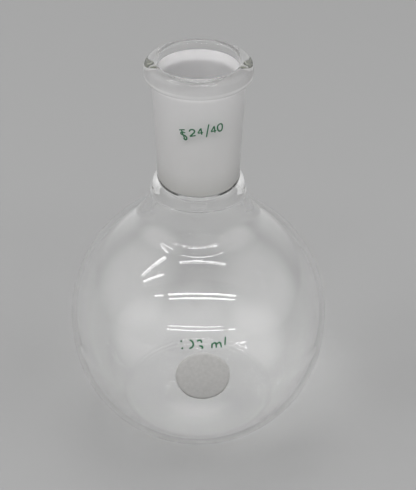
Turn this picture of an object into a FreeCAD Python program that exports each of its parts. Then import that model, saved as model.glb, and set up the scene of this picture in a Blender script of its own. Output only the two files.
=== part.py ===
import FreeCAD, Part
import math
import os
import Sketcher

# Flat bottom flask, 250 ml, with a 24/40 ground joint at its mouth.
# It is one blown piece of borosilicate glass, turned about +Z, and stands on z = 0.
# Its outside and its hollow are each one profile with sharp corners, which are rounded after.

document = FreeCAD.newDocument("FlatBottomFlask")

# Driving dimensions, in millimetres and degrees
drivingSizes = {
    # globe and base
    "globeDiameter": 85.0,
    "globeWall": 1.9,
    "beltHeight": 3.2,  # straight belt between the two halves of the globe
    "baseDiameter": 51.0,  # where the globe would meet the bench without its heel round
    "baseWall": 2.4,
    "heelRound": 5.7,
    "pushUpDiameter": 30.0,  # shallow hollow under the base, so that the flask stands on a ring
    "pushUpDepth": 0.8,
    # throat, a short cone between the globe and the joint
    "throatRise": 9.6,  # top of the throat above the crown of the globe
    "throatDiameter": 28.1,  # outside, at its top
    "throatAngle": 15.0,  # from the axis
    "throatWall": 2.2,
    "throatRound": 6.0,
    "shoulderRound": 10.0,
    # seal, the flare where the joint was fused to the throat
    "sealHeight": 2.2,
    "sealRound": 1.5,
    "sealDrop": 1.8,  # foot of the ground taper below the top of the throat
    "flareHeight": 2.8,  # flare inside, below the ground taper
    "flareRound": 3.0,
    "groundFootRound": 0.8,
    # joint
    "gaugeDiameter": 24.0,  # large end of the ground taper
    "groundLength": 40.0,
    "lengthPerWidening": 10.0,  # the ground taper widens by one in ten
    "jointFootWall": 2.45,
    "jointHeadWall": 2.15,
    # lip
    "lipDiameter": 32.0,
    "lipHeight": 6.0,
    "lipTopRound": 2.6,
    "lipFootRound": 1.95,
    "roundShare": 0.97,  # most of a flat of the lip that its round takes
    "mouthRound": 1.3,
    "mouthLand": 0.5,  # between the large end of the ground taper and the mouth's round
}

# Radii, and heights above the bench, that follow from them
derivedSizes = {
    "globeRadius": "globeDiameter / 2",
    "hollowRadius": "globeRadius - globeWall",
    "baseRadius": "baseDiameter / 2",
    "pushUpRadius": "pushUpDiameter / 2",
    "floorTop": "baseWall + pushUpDepth",
    "lowerCentre": "sqrt(globeRadius ^ 2 - baseRadius ^ 2)",
    "upperCentre": "lowerCentre + beltHeight",
    "floorRadius": "sqrt(hollowRadius ^ 2 - (lowerCentre - baseWall) ^ 2)",
    "innerHeelRound": "heelRound - globeWall",
    # the throat's cone carried down to the upper centre's level, and the rise from there to the globe
    "throatSlope": "tan(throatAngle)",
    "throatSpread": "1 + throatSlope ^ 2",
    "throatTop": "upperCentre + globeRadius + throatRise",
    "throatRadius": "throatDiameter / 2",
    "coneFoot": "throatRadius + throatSlope * (throatTop - upperCentre)",
    "coneRoot": "sqrt(throatSpread * globeRadius ^ 2 - coneFoot ^ 2)",
    "shoulderRise": "(throatSlope * coneFoot + coneRoot) / throatSpread",
    "shoulderRadius": "coneFoot - throatSlope * shoulderRise",
    "shoulderHeight": "upperCentre + shoulderRise",
    "hollowConeFoot": "coneFoot - throatWall",
    "hollowConeRoot": "sqrt(throatSpread * hollowRadius ^ 2 - hollowConeFoot ^ 2)",
    "hollowShoulderRise": "(throatSlope * hollowConeFoot + hollowConeRoot) / throatSpread",
    "hollowShoulderRadius": "hollowConeFoot - throatSlope * hollowShoulderRise",
    "hollowShoulderHeight": "upperCentre + hollowShoulderRise",
    "hollowShoulderRound": "shoulderRound + throatWall",
    # seal and joint
    "sealTop": "throatTop + sealHeight",
    "groundFoot": "throatTop - sealDrop",
    "groundHead": "groundFoot + groundLength",
    "gaugeRadius": "gaugeDiameter / 2",
    "groundFootRadius": "gaugeRadius - groundLength / lengthPerWidening / 2",
    "flareFoot": "groundFoot - flareHeight",
    "flareFootRadius": "throatRadius + throatSlope * (throatTop - flareFoot) - throatWall",
    "jointFootRadius": "groundFootRadius + (sealTop - groundFoot) / lengthPerWidening / 2 + jointFootWall",
    # lip, its rounds limited by the glass between them
    "rim": "groundHead + mouthLand + mouthRound",
    "lipFoot": "rim - lipHeight",
    "lipRadius": "lipDiameter / 2",
    "jointHeadRadius": "gaugeRadius - (groundHead - lipFoot) / lengthPerWidening / 2 + jointHeadWall",
    "lipTopBlend": "min(lipTopRound; roundShare * (lipRadius - gaugeRadius - mouthRound))",
    "lipFootBlend": "min(lipFootRound; roundShare * (lipRadius - jointHeadRadius))",
}

sheet = document.addObject("Spreadsheet::Sheet", "sizes")
cells = [(alias, str(value)) for alias, value in drivingSizes.items()]
cells += [(alias, "=" + formula) for alias, formula in derivedSizes.items()]
for row, (alias, content) in enumerate(cells, start=1):
    sheet.set(f"A{row}", alias)
    sheet.set(f"B{row}", content)
    sheet.setAlias(f"B{row}", alias)
document.recompute()

# The sketcher's own numbers for an edge's points and for the sketch's axes, whose first point is the origin
start, end, centre = range(1, 4)
sketchX, sketchY = range(-1, -3, -1)
onAxis, onBench = "", ""


def size(alias):
    """A cell of the sheet, or zero for a corner on the axis or on the bench."""
    return float(sheet.get(alias)) if alias else 0.0


def drawEdge(sketch, here, there, edge):
    """A straight edge, or an arc about a point of the axis. Returns it, its end here and its end there."""
    if edge == "straight":
        return sketch.addGeometry(Part.LineSegment(here, there)), start, end
    middle = (there.x ** 2 + there.y ** 2 - here.x ** 2 - here.y ** 2) / (there.y - here.y) / 2
    hub = FreeCAD.Vector(0, middle, 0)
    circle = Part.Circle(hub, FreeCAD.Vector(0, 0, 1), here.distanceToPoint(hub))
    hereTurn, thereTurn = (math.atan2(spot.y - middle, spot.x) for spot in (here, there))
    rising = hereTurn < thereTurn
    index = sketch.addGeometry(Part.ArcOfCircle(circle, min(hereTurn, thereTurn), max(hereTurn, thereTurn)))
    sketch.addConstraint(Sketcher.Constraint("PointOnObject", index, centre, sketchY))
    return (index, start, end) if rising else (index, end, start)


def tieCorner(sketch, edge, place, kind, alias, axis):
    """Set a corner's distance from the axis or the bench to a cell of the sheet, or put it on them."""
    if not alias:
        sketch.addConstraint(Sketcher.Constraint("PointOnObject", edge, place, axis))
        return
    distance = Sketcher.Constraint(kind, sketchX, start, edge, place, size(alias))
    index = sketch.addConstraint(distance)
    sketch.setExpression(f"Constraints[{index}]", f"sizes.{alias}")


def drawProfile(body, name, corners):
    """A closed sketch in the XZ plane. A corner is its radius, its height and the edge that leaves it."""
    sketch = body.newObject("Sketcher::SketchObject", name)
    plane = next(item for item in body.Origin.OriginFeatures if item.Role == "XZ_Plane")
    sketch.AttachmentSupport = (plane, [""])
    sketch.MapMode = "FlatFace"
    points = [FreeCAD.Vector(size(radius), size(height), 0) for radius, height, edge in corners]
    edges = [drawEdge(sketch, here, there, corner[2])
             for here, there, corner in zip(points, points[1:] + points[:1], corners)]
    for (before, unused, arrival), (edge, departure, unused) in zip(edges[-1:] + edges, edges):
        sketch.addConstraint(Sketcher.Constraint("Coincident", before, arrival, edge, departure))
    for (edge, departure, arrival), (radius, height, kind) in zip(edges, corners):
        tieCorner(sketch, edge, departure, "DistanceX", radius, sketchY)
        tieCorner(sketch, edge, departure, "DistanceY", height, sketchX)
    document.recompute()
    if not sketch.FullyConstrained:
        raise RuntimeError(f"{name} isn't fully constrained")
    return sketch


def turn(body, kind, name, sketch):
    """Turn a profile about the axis, as a solid or as a cut."""
    feature = body.newObject(kind, name)
    feature.Profile = (sketch, [""])
    feature.ReferenceAxis = (sketch, ["V_Axis"])
    feature.Angle = 360
    document.recompute()
    return feature


def roundCorners(body, rounds):
    """Round the circles that the profile's corners left, each by a cell of the sheet."""
    for name, radius, height, roundSize in rounds:
        before = body.Tip
        edge = next(f"Edge{number}" for number, item in enumerate(before.Shape.Edges, start=1)
                    if not item.Degenerated and isinstance(item.Curve, Part.Circle)
                    and abs(item.Curve.Radius - size(radius)) < sameCorner
                    and abs(item.Curve.Center.z - size(height)) < sameCorner)
        fillet = body.newObject("PartDesign::Fillet", name)
        fillet.Base = (before, [edge])
        fillet.setExpression("Radius", f"sizes.{roundSize}")
        body.Tip = fillet
        document.recompute()


sameCorner = 1e-4

flask = document.addObject("PartDesign::Body", "flask")
flask.Label = "flask"

outside = drawProfile(flask, "outside", [
    (onAxis, "pushUpDepth", "arc"),
    ("pushUpRadius", onBench, "straight"),
    ("baseRadius", onBench, "arc"),
    ("globeRadius", "lowerCentre", "straight"),
    ("globeRadius", "upperCentre", "arc"),
    ("shoulderRadius", "shoulderHeight", "straight"),
    ("throatRadius", "throatTop", "straight"),
    ("jointFootRadius", "sealTop", "straight"),
    ("jointHeadRadius", "lipFoot", "straight"),
    ("lipRadius", "lipFoot", "straight"),
    ("lipRadius", "rim", "straight"),
    (onAxis, "rim", "straight"),
])
blown = turn(flask, "PartDesign::Revolution", "blown", outside)
roundCorners(flask, [
    ("heel", "baseRadius", onBench, "heelRound"),
    ("shoulder", "shoulderRadius", "shoulderHeight", "shoulderRound"),
    ("throatTopRound", "throatRadius", "throatTop", "throatRound"),
    ("sealTopRound", "jointFootRadius", "sealTop", "sealRound"),
    ("lipTop", "lipRadius", "rim", "lipTopBlend"),
    ("lipUnderside", "lipRadius", "lipFoot", "lipFootBlend"),
])
solidVolume = flask.Tip.Shape.Volume

inside = drawProfile(flask, "inside", [
    (onAxis, "floorTop", "arc"),
    ("pushUpRadius", "baseWall", "straight"),
    ("floorRadius", "baseWall", "arc"),
    ("hollowRadius", "lowerCentre", "straight"),
    ("hollowRadius", "upperCentre", "arc"),
    ("hollowShoulderRadius", "hollowShoulderHeight", "straight"),
    ("flareFootRadius", "flareFoot", "straight"),
    ("groundFootRadius", "groundFoot", "straight"),
    ("gaugeRadius", "groundHead", "straight"),
    ("gaugeRadius", "rim", "straight"),
    (onAxis, "rim", "straight"),
])
hollow = turn(flask, "PartDesign::Groove", "hollow", inside)
hollowVolume = solidVolume - flask.Tip.Shape.Volume
roundCorners(flask, [
    ("innerHeel", "floorRadius", "baseWall", "innerHeelRound"),
    ("innerShoulder", "hollowShoulderRadius", "hollowShoulderHeight", "hollowShoulderRound"),
    ("flareFootRound", "flareFootRadius", "flareFoot", "flareRound"),
    ("groundFootEdge", "groundFootRadius", "groundFoot", "groundFootRound"),
    ("mouth", "gaugeRadius", "rim", "mouthRound"),
])

# Checks, then the file
for item in document.Objects:
    if {"Invalid", "Error"} & set(item.State):
        raise RuntimeError(f"{item.Label} failed: {item.State}")
if flask.Shape.isNull() or not flask.Shape.isValid() or len(flask.Shape.Solids) != 1:
    raise RuntimeError("the flask isn't one valid solid")
if hollowVolume <= 0:
    raise RuntimeError("the hollow cut nothing")

os.makedirs("parts", exist_ok=True)
flask.Shape.exportStep(f"parts/{flask.Label}.step")
box = flask.Shape.BoundBox
print(f"{flask.Label}: {box.XLength:.2f} x {box.YLength:.2f} x {box.ZLength:.2f} mm,"
      f" glass {flask.Shape.Volume / 1000:.1f} ml, holds {hollowVolume / 1000:.0f} ml to the brim")
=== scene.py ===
import math

import bmesh
import bpy
from mathutils import Matrix, Vector


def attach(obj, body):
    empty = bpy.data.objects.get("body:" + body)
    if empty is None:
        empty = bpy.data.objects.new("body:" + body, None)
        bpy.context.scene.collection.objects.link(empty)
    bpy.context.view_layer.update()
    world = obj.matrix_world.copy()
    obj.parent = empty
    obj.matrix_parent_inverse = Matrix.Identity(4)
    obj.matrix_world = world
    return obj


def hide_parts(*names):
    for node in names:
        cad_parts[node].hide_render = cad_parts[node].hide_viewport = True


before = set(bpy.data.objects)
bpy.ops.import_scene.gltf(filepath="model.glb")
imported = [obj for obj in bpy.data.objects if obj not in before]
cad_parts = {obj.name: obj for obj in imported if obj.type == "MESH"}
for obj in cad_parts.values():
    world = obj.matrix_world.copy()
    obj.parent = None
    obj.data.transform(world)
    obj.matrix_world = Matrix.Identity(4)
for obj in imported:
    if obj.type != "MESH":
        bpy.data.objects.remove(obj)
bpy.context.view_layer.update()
mm = 0.001  # every size below is in millimetres until it is multiplied by this
print("frame loaded")


def toLinear(hexColour):
    channels = [int(hexColour[place:place + 2], 16) / 255 for place in (1, 3, 5)]
    return (*(c / 12.92 if c <= 0.04045 else ((c + 0.055) / 1.055) ** 2.4 for c in channels), 1.0)


def addNode(tree, kind, inputs=None, **settings):
    # inputs go by name or place, and each takes a value or another node's output
    node = tree.nodes.new("ShaderNode" + kind)
    for name, value in settings.items():
        setattr(node, name, value)
    for socket, value in (inputs or {}).items():
        if isinstance(value, bpy.types.NodeSocket):
            tree.links.new(value, node.inputs[socket])
        else:
            node.inputs[socket].default_value = value
    return node


def newMaterial(name):
    material = bpy.data.materials.new(name)
    material.use_nodes = True
    material.node_tree.nodes.clear()
    return material, material.node_tree


def setStops(ramp, stops):
    # each stop is its place along the ramp and its colour
    elements = ramp.color_ramp.elements
    while len(elements) < len(stops):
        elements.new(1.0)
    for element, (place, tint) in zip(elements, stops):
        element.position = place
        element.color = toLinear(tint)


def band(tree, value, low, high, fade):
    # one between low and high, falling to nothing over the fade on each side
    rise = addNode(tree, "MapRange", {"Value": value, "From Min": low - fade, "From Max": low},
                   interpolation_type="SMOOTHSTEP")
    fall = addNode(tree, "MapRange", {"Value": value, "From Min": high, "From Max": high + fade,
                                      "To Min": 1.0, "To Max": 0.0}, interpolation_type="SMOOTHSTEP")
    return addNode(tree, "Math", {0: rise.outputs[0], 1: fall.outputs[0]}, operation="MULTIPLY").outputs[0]


def placeAboutAxis(tree):
    # a point's place, its height and its distance from the flask's axis
    place = addNode(tree, "TexCoord").outputs["Object"]
    axes = addNode(tree, "SeparateXYZ", {0: place})
    flat = addNode(tree, "CombineXYZ", {"X": axes.outputs["X"], "Y": axes.outputs["Y"]})
    radius = addNode(tree, "VectorMath", {0: flat.outputs[0]}, operation="LENGTH").outputs["Value"]
    return place, axes.outputs["Z"], radius


def waveredHeight(tree, place, height, zone):
    # the stone's edge wavers a little round the bore
    cloud = addNode(tree, "TexNoise", {"Vector": place, "Scale": 1 / (zone["cloud"] * mm),
                                       "Detail": zone["detail"]}).outputs["Fac"]
    return addNode(tree, "Math", {0: cloud, 1: zone["waver"] * mm, 2: height},
                   operation="MULTIPLY_ADD").outputs[0]


def addObject(name, data):
    item = bpy.data.objects.new(name, data)
    bpy.context.scene.collection.objects.link(item)
    return item


def smoothData(name, mesh):
    bmesh.ops.recalc_face_normals(mesh, faces=mesh.faces)
    data = bpy.data.meshes.new(name)
    mesh.to_mesh(data)
    mesh.free()
    data.polygons.foreach_set("use_smooth", [True] * len(data.polygons))
    return data


def addRing(mesh, spot, steps):
    # a point of a profile, its radius and height, carried round the axis
    turns = (2 * math.pi * step / steps for step in range(steps))
    return [mesh.verts.new(Vector((spot.x * math.cos(turn), spot.x * math.sin(turn), spot.y)) * mm)
            for turn in turns]


slimming = 0.999  # a thousandth slimmer, so that the enamel on the globe stays inside the solid's bounds


def drawIn(piece):
    piece.data.transform(Matrix.Diagonal((slimming, slimming, 1.0, 1.0)))


# Glass
# The joint's bore is ground, so that zone alone scatters; the rest is fire-polished and clear.
groundZone = {"foot": 89.2, "head": 126.7, "radius": 12.22, "fade": 0.35, "waver": 0.1, "cloud": 6.25,
              "detail": 2.0}
glass = {"ior": 1.474, "tint": "#FFFFFF", "shade": "#FAFAFA", "groundRoughness": 0.6,
         "edgeGreen": "#DDE8B4", "edgeDensity": 1.6, "wave": 25.0, "waveHeight": 0.002}


def glassMaterial():
    # Blown in a flame, so its skin is glossy and a little wavy: highlights are sharp and swim slightly, and
    # the edges, where the eye looks through a long way of it, turn a pale yellow green.
    material, tree = newMaterial("borosilicate_blown_fire_polished")
    place, height, radius = placeAboutAxis(tree)
    waver = waveredHeight(tree, place, height, groundZone)
    level = band(tree, waver, groundZone["foot"] * mm, groundZone["head"] * mm, groundZone["fade"] * mm)
    inside = addNode(tree, "Math", {0: radius, 1: groundZone["radius"] * mm},
                     operation="LESS_THAN").outputs[0]
    ground = addNode(tree, "Math", {0: level, 1: inside}, operation="MULTIPLY").outputs[0]
    roughness = addNode(tree, "MapRange", {"Value": ground, "To Min": 0.0,
                                           "To Max": glass["groundRoughness"]}).outputs[0]

    wave = addNode(tree, "TexNoise", {"Vector": place, "Scale": 1 / (glass["wave"] * mm), "Detail": 1.0,
                                      "Roughness": 0.4}).outputs["Fac"]
    bump = addNode(tree, "Bump", {"Strength": 1.0, "Distance": glass["waveHeight"] * mm, "Height": wave})

    body = addNode(tree, "BsdfPrincipled", {
        "Base Color": toLinear(glass["tint"]), "IOR": glass["ior"], "Roughness": roughness,
        "Transmission Weight": 1.0, "Normal": bump.outputs[0]})
    # lamps shine through it
    shade = addNode(tree, "BsdfTransparent", {"Color": toLinear(glass["shade"])})
    path = addNode(tree, "LightPath")
    surface = addNode(tree, "MixShader", {0: path.outputs["Is Shadow Ray"], 1: body.outputs[0],
                                          2: shade.outputs[0]})
    depth = addNode(tree, "VolumeAbsorption", {"Color": toLinear(glass["edgeGreen"]),
                                               "Density": glass["edgeDensity"]})
    addNode(tree, "OutputMaterial", {"Surface": surface.outputs[0], "Volume": depth.outputs[0]})
    return material


# The glass is turned finely from its profile, so that no facet shows in what it bends and mirrors. Each arc
# is its centre's radius and height, its own radius and the angles that it runs between. Straight runs join
# the arcs, and an arc of no radius is a plain corner. Points nearer than the least gap are one.
profile = {"chord": 0.003, "angleStep": 4.0, "straightStep": 6.0, "leastGap": 0.01, "steps": 192, "arcs": [
    (0.0, -140.225, 141.025, 90.0, 83.894),  # push-up under the base
    (23.523, 5.7, 5.7, -90.0, -50.27),  # heel
    (0.0, 34.0, 42.5, -50.27, 0.0),  # globe, lower half and upper half
    (0.0, 37.2, 42.5, 0.0, 60.104),
    (26.168, 82.714, 10.0, 240.1, 195.0),  # shoulder
    (8.493, 86.857, 6.0, 15.0, 32.47),  # seal
    (14.168, 91.909, 1.5, 212.47, 177.68),
    (14.225, 123.007, 0.3, 177.68, 94.47),  # lip
    (14.05, 125.25, 1.95, -85.53, 0.0),
    (13.4, 126.7, 2.6, 0.0, 90.0),
    (13.3, 128.0, 1.3, 90.0, 180.0),  # mouth
    (12.0, 127.5, 0.0, 0.0, 0.0),  # ground taper
    (10.818, 87.838, 0.8, 177.14, 227.75),
    (10.413, 83.072, 3.0, 47.75, 15.0),  # flare
    (26.15, 83.07, 12.2, 195.0, 240.31),  # hollow of the shoulder and the globe
    (0.0, 37.2, 40.6, 60.313, 0.0),
    (0.0, 34.0, 40.6, 0.0, -49.06),
    (24.112, 6.2, 3.8, -49.06, -90.0),  # floor
    (15.0, 2.4, 0.0, 0.0, 0.0),
    (0.0, -137.825, 141.025, 83.894, 90.0),
]}


def profilePoints(shape):
    points = []
    for radius, height, bend, start, end in shape["arcs"]:
        step = shape["angleStep"]
        if bend:
            step = min(step, math.degrees(2 * math.acos(1 - shape["chord"] / bend)))
        pieces = max(1, math.ceil(abs(end - start) / step)) if bend else 0
        for piece in range(pieces + 1):
            angle = math.radians(start + (end - start) * piece / max(pieces, 1))
            spot = Vector((radius + bend * math.cos(angle), height + bend * math.sin(angle)))
            if points and piece == 0:
                last = points[-1]
                runs = math.ceil((spot - last).length / shape["straightStep"])
                points += [last.lerp(spot, run / runs) for run in range(1, runs)]
                if (spot - last).length < shape["leastGap"]:
                    continue
            points.append(spot)
    return points


def turnedMesh(name, shape):
    # the first and last points lie on the axis
    points = profilePoints(shape)
    mesh = bmesh.new()
    rings = [addRing(mesh, spot, shape["steps"]) for spot in points[1:-1]]
    foot, head = (mesh.verts.new(Vector((0, 0, spot.y)) * mm) for spot in (points[0], points[-1]))
    for step in range(shape["steps"]):
        after = (step + 1) % shape["steps"]
        mesh.faces.new((foot, rings[0][after], rings[0][step]))
        mesh.faces.new((head, rings[-1][step], rings[-1][after]))
        for lower, upper in zip(rings, rings[1:]):
            mesh.faces.new((lower[step], lower[after], upper[after], upper[step]))
    return smoothData(name, mesh)


flask = addObject("flask_glass", turnedMesh("flask_glass", profile))
drawIn(flask)
flask.data.materials.append(glassMaterial())
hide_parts("flask")
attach(flask, "root")
print("glass done:", len(flask.data.polygons), "faces")

# Ground joint
# The stone leaves a layer of fine chips on the bore, which scatters light both ways. It lies just inside
# the glass.
groundLayer = {
    "foot": 88.2, "head": 127.3, "inset": 0.03, "depth": 0.06, "rows": 40,
    "boreFoot": 87.5, "boreRadius": 10.0, "widening": 0.05,
    "fade": 0.9, "waver": 0.1, "cloud": 6.25, "detail": 3.0,
    "through": 0.08, "roughness": 0.9,  # through is the share of light that passes to the other side
    "grit": [(0.0, "#F6F5F5"), (1.0, "#FFFEFF")], "gritSize": 0.4,
    # painted light and shade up the joint, as heights and colours, seen from outside and from the bore. From
    # outside the layer is painted darker towards the foot and greyer inside the lip, with a painted bright
    # ring just under the lip, where the thick lip brings light to the layer at its head. From the bore it is
    # painted grey below the lip and painted bright within the lip.
    "paintedLightFoot": 88.0, "paintedLightHead": 127.0,
    "outside": [(90.0, "#DDDDDA"), (97.0, "#E9E9E8"), (121.4, "#EEEEEE"), (122.3, "#FFFFFF"),
                (123.4, "#FFFFFF"), (124.1, "#D6D6D6")],
    "bore": [(122.9, "#D2D2D2"), (124.0, "#F6F6F6")],
}


def groundProfile(layer):
    points = []
    for proud, rows in ((layer["inset"], range(layer["rows"] + 1)),
                        (layer["inset"] + layer["depth"], range(layer["rows"], -1, -1))):
        for row in rows:
            height = layer["foot"] + (layer["head"] - layer["foot"]) * row / layer["rows"]
            points.append(Vector((layer["boreRadius"] + (height - layer["boreFoot"]) * layer["widening"]
                                  + proud, height)))
    return points


def groundMesh(name, layer, steps):
    mesh = bmesh.new()
    rings = [addRing(mesh, spot, steps) for spot in groundProfile(layer)]
    for lower, upper in zip(rings, rings[1:] + rings[:1]):
        for step in range(steps):
            after = (step + 1) % steps
            mesh.faces.new((lower[step], lower[after], upper[after], upper[step]))
    return smoothData(name, mesh)


def groundMaterial(layer):
    # Ground with a stone and loose grit to the joint's taper: matt, milky and even, with no highlight of its
    # own. The chips of the real grit, about 0.05 mm, are too fine to show, so they are drawn eight times as
    # coarse.
    material, tree = newMaterial("borosilicate_ground_with_grit")
    place, height, radius = placeAboutAxis(tree)
    waver = waveredHeight(tree, place, height, layer)
    edge = band(tree, waver, (layer["foot"] + layer["fade"]) * mm, (layer["head"] - layer["fade"]) * mm,
                layer["fade"] * mm)
    grit = addNode(tree, "TexNoise", {"Vector": place, "Scale": 1 / (layer["gritSize"] * mm),
                                      "Detail": 2.0}).outputs["Fac"]
    speckle = addNode(tree, "ValToRGB", {"Fac": grit})
    setStops(speckle, layer["grit"])

    # painted light and shade: the layer's colour follows its height up the joint, as the light on it would
    foot, head = layer["paintedLightFoot"], layer["paintedLightHead"]
    rise = addNode(tree, "MapRange", {"Value": waver, "From Min": foot * mm,
                                      "From Max": head * mm}).outputs[0]
    tones = []
    for side in ("outside", "bore"):
        ramp = addNode(tree, "ValToRGB", {"Fac": rise})
        setStops(ramp, [((level - foot) / (head - foot), tint) for level, tint in layer[side]])
        tones.append(ramp.outputs[0])
    # the bore's side of the layer lies nearer the axis than its middle does
    middle = layer["boreRadius"] + layer["inset"] + layer["depth"] / 2 - layer["boreFoot"] * layer["widening"]
    taper = addNode(tree, "Math", {0: height, 1: layer["widening"], 2: middle * mm},
                    operation="MULTIPLY_ADD").outputs[0]
    boreSide = addNode(tree, "Math", {0: radius, 1: taper}, operation="LESS_THAN").outputs[0]
    # the bore side takes the bore's painted light and shade, and the rest takes the painted tones seen from
    # outside. The grit's speckle is laid over both.
    paintedLightAndShade = addNode(tree, "Mix", {0: boreSide, 6: tones[0], 7: tones[1]}, data_type="RGBA").outputs[2]
    paintedLightAndGrit = addNode(tree, "Mix", {0: 1.0, 6: paintedLightAndShade, 7: speckle.outputs[0]}, data_type="RGBA",
                   blend_type="MULTIPLY").outputs[2]

    body = addNode(tree, "BsdfPrincipled", {"Base Color": paintedLightAndGrit, "Roughness": layer["roughness"],
                                            "Specular IOR Level": 0.0})
    behind = addNode(tree, "BsdfTranslucent", {"Color": paintedLightAndGrit})
    chips = addNode(tree, "MixShader", {0: layer["through"], 1: body.outputs[0], 2: behind.outputs[0]})
    clear = addNode(tree, "BsdfTransparent")
    surface = addNode(tree, "MixShader", {0: edge, 1: clear.outputs[0], 2: chips.outputs[0]})
    addNode(tree, "OutputMaterial", {"Surface": surface.outputs[0]})
    return material


ground = addObject("ground_taper", groundMesh("ground_taper", groundLayer, profile["steps"]))
ground.data.materials.append(groundMaterial(groundLayer))
drawIn(ground)
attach(ground, "root")
print("ground joint done")

# Enamel marks
# Each stroke is a bead of fired enamel. A stroke is a list of points in millimetres from the mark's own
# centre, along the glass: the first number to the right, the second up.
neck = {"foot": 91.5, "footRadius": 12.65, "head": 122.9, "headRadius": 13.92}
globe = {"radius": 42.5, "upperCentre": 37.2, "lowerCentre": 34.0}
bead = {"ends": 0.85, "roundness": 2, "fineness": 5}  # ends is how wide a stroke is at its two ends


def onNeck(azimuth, height, across, up, proud):
    z = height + up
    radius = neck["footRadius"] + (z - neck["foot"]) / (neck["head"] - neck["foot"]) * (
        neck["headRadius"] - neck["footRadius"])
    turn = math.radians(azimuth) + across / radius
    radius += proud
    return Vector((radius * math.sin(turn), -radius * math.cos(turn), z)) * mm


def onGlobe(azimuth, height, across, up, proud):
    # height is an angle above the upper centre; below that centre comes the belt and then the lower half
    belt = globe["upperCentre"] - globe["lowerCentre"]
    rise = math.radians(height) * globe["radius"] + up
    z = globe["upperCentre"]
    if rise < 0:
        z -= min(belt, -rise)
        rise = min(0.0, rise + belt)
    lift = rise / globe["radius"]
    turn = math.radians(azimuth) + across / (globe["radius"] * math.cos(lift))
    radius = (globe["radius"] + proud) * math.cos(lift)
    return Vector((radius * math.sin(turn), -radius * math.cos(turn),
                   z + (globe["radius"] + proud) * math.sin(lift))) * mm


def enamelStrokes(name, mark, surface):
    curve = bpy.data.curves.new(name + "_path", "CURVE")
    curve.dimensions = "3D"
    curve.bevel_depth = mark["width"] / 2
    curve.bevel_resolution = bead["roundness"]
    curve.resolution_u = bead["fineness"]
    curve.use_fill_caps = True
    for kind, points in mark["strokes"]:
        spline = curve.splines.new(kind)
        spline.points.add(len(points) - 1)
        for number, (spot, (x, y)) in enumerate(zip(spline.points, points)):
            spot.co = (x, y, 0.0, 1.0)
            spot.radius = bead["ends"] if number in (0, len(points) - 1) else 1.0
        spline.use_endpoint_u = True
        spline.order_u = 3
    holder = bpy.data.objects.new(name + "_path", curve)
    data = bpy.data.meshes.new_from_object(holder)
    bpy.data.objects.remove(holder)
    lean = Matrix.Rotation(math.radians(mark["tilt"]), 2)
    for vertex in data.vertices:
        across, up = lean @ Vector(vertex.co[:2])
        # the bead's lower half is fused into the glass
        proud = vertex.co.z / (mark["width"] / 2) * mark["thickness"]
        vertex.co = surface(mark["azimuth"], mark["height"], across, up, proud)
    data.polygons.foreach_set("use_smooth", [True] * len(data.polygons))
    return addObject(name, data)


# cover is how far apart the thin places of the print lie
greenPrint = {"cover": 0.55, "tones": [(0.35, "#125C39"), (0.72, "#2A7A50")], "roughness": (0.35, 0.6),
              "ior": 1.5}


def greenEnamel():
    # Screen-printed enamel, fired on: a satin bead that stands a little proud, and its green is paler where
    # the print was thin.
    material, tree = newMaterial("green_enamel_fired")
    place = addNode(tree, "TexCoord").outputs["Object"]
    cover = addNode(tree, "TexNoise", {"Vector": place, "Scale": 1 / (greenPrint["cover"] * mm),
                                       "Detail": 3.0}).outputs["Fac"]
    colour = addNode(tree, "ValToRGB", {"Fac": cover})
    setStops(colour, greenPrint["tones"])
    smooth, rough = greenPrint["roughness"]
    roughness = addNode(tree, "MapRange", {"Value": cover, "To Min": smooth, "To Max": rough}).outputs[0]
    body = addNode(tree, "BsdfPrincipled", {"Base Color": colour.outputs[0], "Roughness": roughness,
                                            "IOR": greenPrint["ior"]})
    addNode(tree, "OutputMaterial", {"Surface": body.outputs[0]})
    return material


# shapes of the numbers in a box of one by one about the middle
glyphs = {
    "2": [("NURBS", [(-0.46, 0.24), (-0.36, 0.5), (0.05, 0.58), (0.46, 0.42), (0.4, 0.05), (-0.05, -0.2),
                     (-0.5, -0.5)]),
          ("POLY", [(-0.5, -0.5), (0.5, -0.44)])],
    "4": [("POLY", [(0.2, -0.5), (0.24, 0.5)]), ("POLY", [(0.2, 0.46), (-0.48, -0.18)]),
          ("POLY", [(-0.5, -0.2), (0.5, -0.22)])],
    "0": [("NURBS", [(0.05, 0.5), (-0.4, 0.42), (-0.52, -0.15), (-0.2, -0.54), (0.3, -0.46), (0.52, 0.1),
                     (0.34, 0.5), (0.05, 0.5)])],
    "slash": [("POLY", [(-0.5, -0.5), (0.5, 0.5)])],
    "taper": [("POLY", [(-0.5, 0.46), (0.36, 0.5)]), ("POLY", [(-0.16, 0.46), (0.12, -0.42)]),
              ("NURBS", [(0.34, 0.18), (-0.1, 0.34), (-0.42, 0.12), (-0.1, -0.02), (0.36, -0.12),
                         (0.5, -0.42), (0.12, -0.56), (-0.02, -0.34)])],
}
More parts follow.
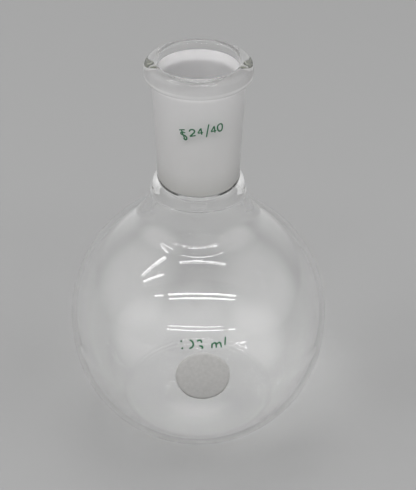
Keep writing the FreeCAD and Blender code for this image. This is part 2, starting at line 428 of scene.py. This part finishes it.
# each number's glyph, middle and size
neckMark = {"width": 0.46, "thickness": 0.03, "tilt": 9.0, "azimuth": 4.0, "height": 113.0, "numbers": [
    ("taper", -5.45, -0.64, 2.0, 3.3), ("2", -2.67, -0.17, 1.7, 2.1), ("4", -0.33, 0.0, 1.5, 2.1),
    ("slash", 1.8, -0.17, 1.31, 4.0), ("4", 3.55, -0.34, 1.6, 2.2), ("0", 5.61, -0.35, 1.7, 2.4),
]}
neckMark["strokes"] = [(kind, [(across + x * wide, up + y * tall) for x, y in points])
                       for glyph, across, up, wide, tall in neckMark["numbers"]
                       for kind, points in glyphs[glyph]]
globeMark = {"width": 0.5, "thickness": 0.03, "tilt": 0.0, "azimuth": 2.5, "height": 24.3, "strokes": [
    # what wear has left of a 2, a 5 and a 0
    ("POLY", [(-6.5, 0.6), (-6.3, 1.15)]),
    ("POLY", [(-6.25, -1.5), (-6.0, -1.0)]),
    ("NURBS", [(-3.9, 1.45), (-3.1, 1.2), (-2.7, 0.2), (-3.1, -0.9), (-4.0, -1.15)]),
    ("NURBS", [(-1.7, 1.1), (-1.1, 1.55), (-0.3, 1.3), (-0.3, 0.6)]),
    ("NURBS", [(-1.0, -0.3), (-0.3, -0.35), (0.1, -0.8), (-0.3, -1.2)]),
    # m l
    ("POLY", [(2.75, -1.1), (2.8, 0.3)]),
    ("NURBS", [(2.8, -0.1), (3.4, 0.6), (4.1, 0.3), (4.1, -1.1)]),
    ("NURBS", [(4.2, -0.1), (4.8, 0.6), (5.5, 0.2), (5.6, -1.2)]),
    ("POLY", [(6.9, 1.9), (6.7, -0.6)]),
]}
enamel = greenEnamel()
for name, mark, surface in (("joint_size_mark", neckMark, onNeck), ("volume_mark", globeMark, onGlobe)):
    piece = enamelStrokes(name, mark, surface)
    piece.data.materials.append(enamel)
    drawIn(piece)
    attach(piece, "root")
print("enamel marks done")

# Marking spot
# A round of matt white enamel to write on, burnt into the front of the globe. Its edge waves in and out a
# little, wavesRound times, and a higher wavesReach keeps that nearer to the edge.
markingSpot = {"azimuth": 2.5, "height": 9.9, "radius": 8.25, "thickness": 0.03, "rings": 10, "steps": 96,
               "waver": 0.05, "wavesRound": 5, "wavesReach": 8, "grain": 1.1, "grainHeight": 0.02,
               "tones": [(0.3, "#AFAEAC"), (0.75, "#BBBAB8")], "roughness": 0.7, "ior": 1.5}


def spotMesh(name, spot):
    mesh = bmesh.new()
    rings = []
    for ring in range(1, spot["rings"] + 2):
        skirt = ring > spot["rings"]  # the last ring goes down into the glass
        share = min(ring / spot["rings"], 1.0)
        proud = -spot["thickness"] if skirt else spot["thickness"]
        row = []
        for step in range(spot["steps"]):
            turn = 2 * math.pi * step / spot["steps"]
            waver = spot["waver"] * math.sin(spot["wavesRound"] * turn) * share ** spot["wavesReach"]
            reach = spot["radius"] * share + waver
            row.append(mesh.verts.new(onGlobe(spot["azimuth"], spot["height"], reach * math.cos(turn),
                                              reach * math.sin(turn), proud)))
        rings.append(row)
    middle = mesh.verts.new(onGlobe(spot["azimuth"], spot["height"], 0.0, 0.0, spot["thickness"]))
    for step in range(spot["steps"]):
        after = (step + 1) % spot["steps"]
        mesh.faces.new((middle, rings[0][step], rings[0][after]))
        for inner, outer in zip(rings, rings[1:]):
            mesh.faces.new((inner[step], outer[step], outer[after], inner[after]))
    return smoothData(name, mesh)


def whiteEnamel():
    # Matt white enamel, fired on: chalky and without a highlight, so that pencil takes on it. Its real grain,
    # some 0.1 mm, is too fine to show, so it is drawn ten times as coarse.
    material, tree = newMaterial("white_enamel_matt_fired")
    place = addNode(tree, "TexCoord").outputs["Object"]
    grain = addNode(tree, "TexNoise", {"Vector": place, "Scale": 1 / (markingSpot["grain"] * mm),
                                       "Detail": 4.0, "Roughness": 0.6}).outputs["Fac"]
    colour = addNode(tree, "ValToRGB", {"Fac": grain})
    setStops(colour, markingSpot["tones"])
    bump = addNode(tree, "Bump", {"Strength": 0.5, "Distance": markingSpot["grainHeight"] * mm,
                                  "Height": grain})
    body = addNode(tree, "BsdfPrincipled", {
        "Base Color": colour.outputs[0], "Roughness": markingSpot["roughness"], "IOR": markingSpot["ior"],
        "Normal": bump.outputs[0]})
    addNode(tree, "OutputMaterial", {"Surface": body.outputs[0]})
    return material


spot = addObject("marking_spot", spotMesh("marking_spot", markingSpot))
spot.data.materials.append(whiteEnamel())
drawIn(spot)
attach(spot, "root")
print("marking spot done")

# Floor, light and camera
stage = {
    "floor": "#A2A2A2", "floorRoughness": 0.85, "floorSize": 6.0, "floorGap": 0.05,  # size in metres
    # the sky's colour and dimmest level, and a soft mottle over it, as no studio is quite even
    "sky": "#FFFFFF", "dim": 0.08, "mottle": 0.22, "patch": 1.6, "spread": (0.3, 0.7),
    # soft bright stretches of the sky: where each lies, its half width in degrees and how bright it is
    "panels": [
        ((0.0, 0.97, 0.12), 50.0, 0.45),
        ((-0.55, 0.82, 0.18), 28.0, 0.32),
        ((0.55, 0.82, 0.18), 28.0, 0.22),
        ((0.0, 0.38, 0.92), 24.0, 1.7),
        ((0.2, -0.8, 0.55), 45.0, 0.45),
        ((-0.82, -0.1, 0.55), 45.0, 1.25),
        ((0.82, -0.15, 0.55), 45.0, 1.15),
    ],
    # long thin lamps that face down, all at one height: their ends, width in metres, and watts
    "tubeHeight": 1.5,
    "tubes": [
        ("tube_near", (-0.87, -1.30), (1.18, -1.30), 0.036, 6.5),
        ("tube_far", (-0.87, -1.13), (1.18, -1.13), 0.036, 6.5),
        ("tube_row_end", (-1.42, -1.13), (-1.08, -1.13), 0.05, 0.8),
        ("tube_left_far", (-0.71, -0.02), (-1.62, -0.28), 0.05, 2.4),
        ("tube_left_near", (-0.84, -0.46), (-1.68, -0.50), 0.04, 2.2),
        ("tube_top", (-0.40, -0.24), (0.62, -0.24), 0.03, 1.6),
    ],
}
# pitch and roll in degrees
view = {"place": (3.07, -281.55, 261.1), "pitch": 55.0, "roll": 0.4, "lens": 78.24, "sensor": 36.0,
        "nearest": 10.0}


def addFloor():
    mesh = bmesh.new()
    bmesh.ops.create_grid(mesh, x_segments=1, y_segments=1, size=stage["floorSize"] / 2)
    data = bpy.data.meshes.new("floor")
    mesh.to_mesh(data)
    mesh.free()
    floor = addObject("floor", data)
    floor.location.z = -stage["floorGap"] * mm
    material, tree = newMaterial("floor_pale_matt")
    body = addNode(tree, "BsdfPrincipled", {"Base Color": toLinear(stage["floor"]),
                                            "Roughness": stage["floorRoughness"]})
    addNode(tree, "OutputMaterial", {"Surface": body.outputs[0]})
    data.materials.append(material)


def addSky():
    world = bpy.data.worlds.new("studio")
    world.use_nodes = True
    tree = world.node_tree
    tree.nodes.clear()
    heading = addNode(tree, "TexCoord").outputs["Generated"]
    mottle = addNode(tree, "TexNoise", {"Vector": heading, "Scale": stage["patch"],
                                        "Detail": 2.0}).outputs["Fac"]
    low, high = stage["spread"]
    level = addNode(tree, "MapRange", {
        "Value": mottle, "From Min": low, "From Max": high, "To Min": stage["dim"],
        "To Max": stage["dim"] + stage["mottle"]}, interpolation_type="SMOOTHSTEP").outputs[0]
    for aim, halfWidth, strength in stage["panels"]:
        nearness = addNode(tree, "VectorMath", {0: heading, 1: Vector(aim).normalized()},
                           operation="DOT_PRODUCT").outputs["Value"]
        glow = addNode(tree, "MapRange", {
            "Value": nearness, "From Min": math.cos(math.radians(halfWidth)), "To Max": strength},
            interpolation_type="SMOOTHSTEP").outputs[0]
        level = addNode(tree, "Math", {0: level, 1: glow}).outputs[0]
    air = addNode(tree, "Background", {"Color": toLinear(stage["sky"]), "Strength": level})
    addNode(tree, "OutputWorld", {"Surface": air.outputs[0]})
    # the sky lights through the glass by refraction, so not by shadow rays too
    world.cycles.sampling_method = "NONE"
    bpy.context.scene.world = world


def addTube(name, here, there, width, watts):
    here, there = (Vector((*end, stage["tubeHeight"])) for end in (here, there))
    run = there - here
    lamp = bpy.data.lights.new(name, "AREA")
    lamp.shape = "RECTANGLE"
    lamp.size, lamp.size_y = run.length, width
    lamp.energy = watts
    tube = addObject(name, lamp)
    tube.location = (here + there) / 2
    tube.rotation_euler = (0, 0, math.atan2(run.y, run.x))


def addCamera():
    camera = addObject("camera", bpy.data.cameras.new("camera"))
    camera.data.lens = view["lens"]
    camera.data.sensor_width = view["sensor"]
    camera.data.clip_start = view["nearest"] * mm
    camera.matrix_world = (Matrix.Translation(Vector(view["place"]) * mm)
                           @ Matrix.Rotation(math.radians(view["pitch"]), 4, "X")
                           @ Matrix.Rotation(math.radians(view["roll"]), 4, "Z"))
    bpy.context.scene.camera = camera


addFloor()
addSky()
for tube in stage["tubes"]:
    addTube(*tube)
addCamera()
bpy.context.scene.view_settings.view_transform = "Standard"
# light that glass mirrors inside itself takes many bounces to come out
paths = bpy.context.scene.cycles
paths.max_bounces, paths.glossy_bounces, paths.transmission_bounces = 40, 32, 40
print("stage done")
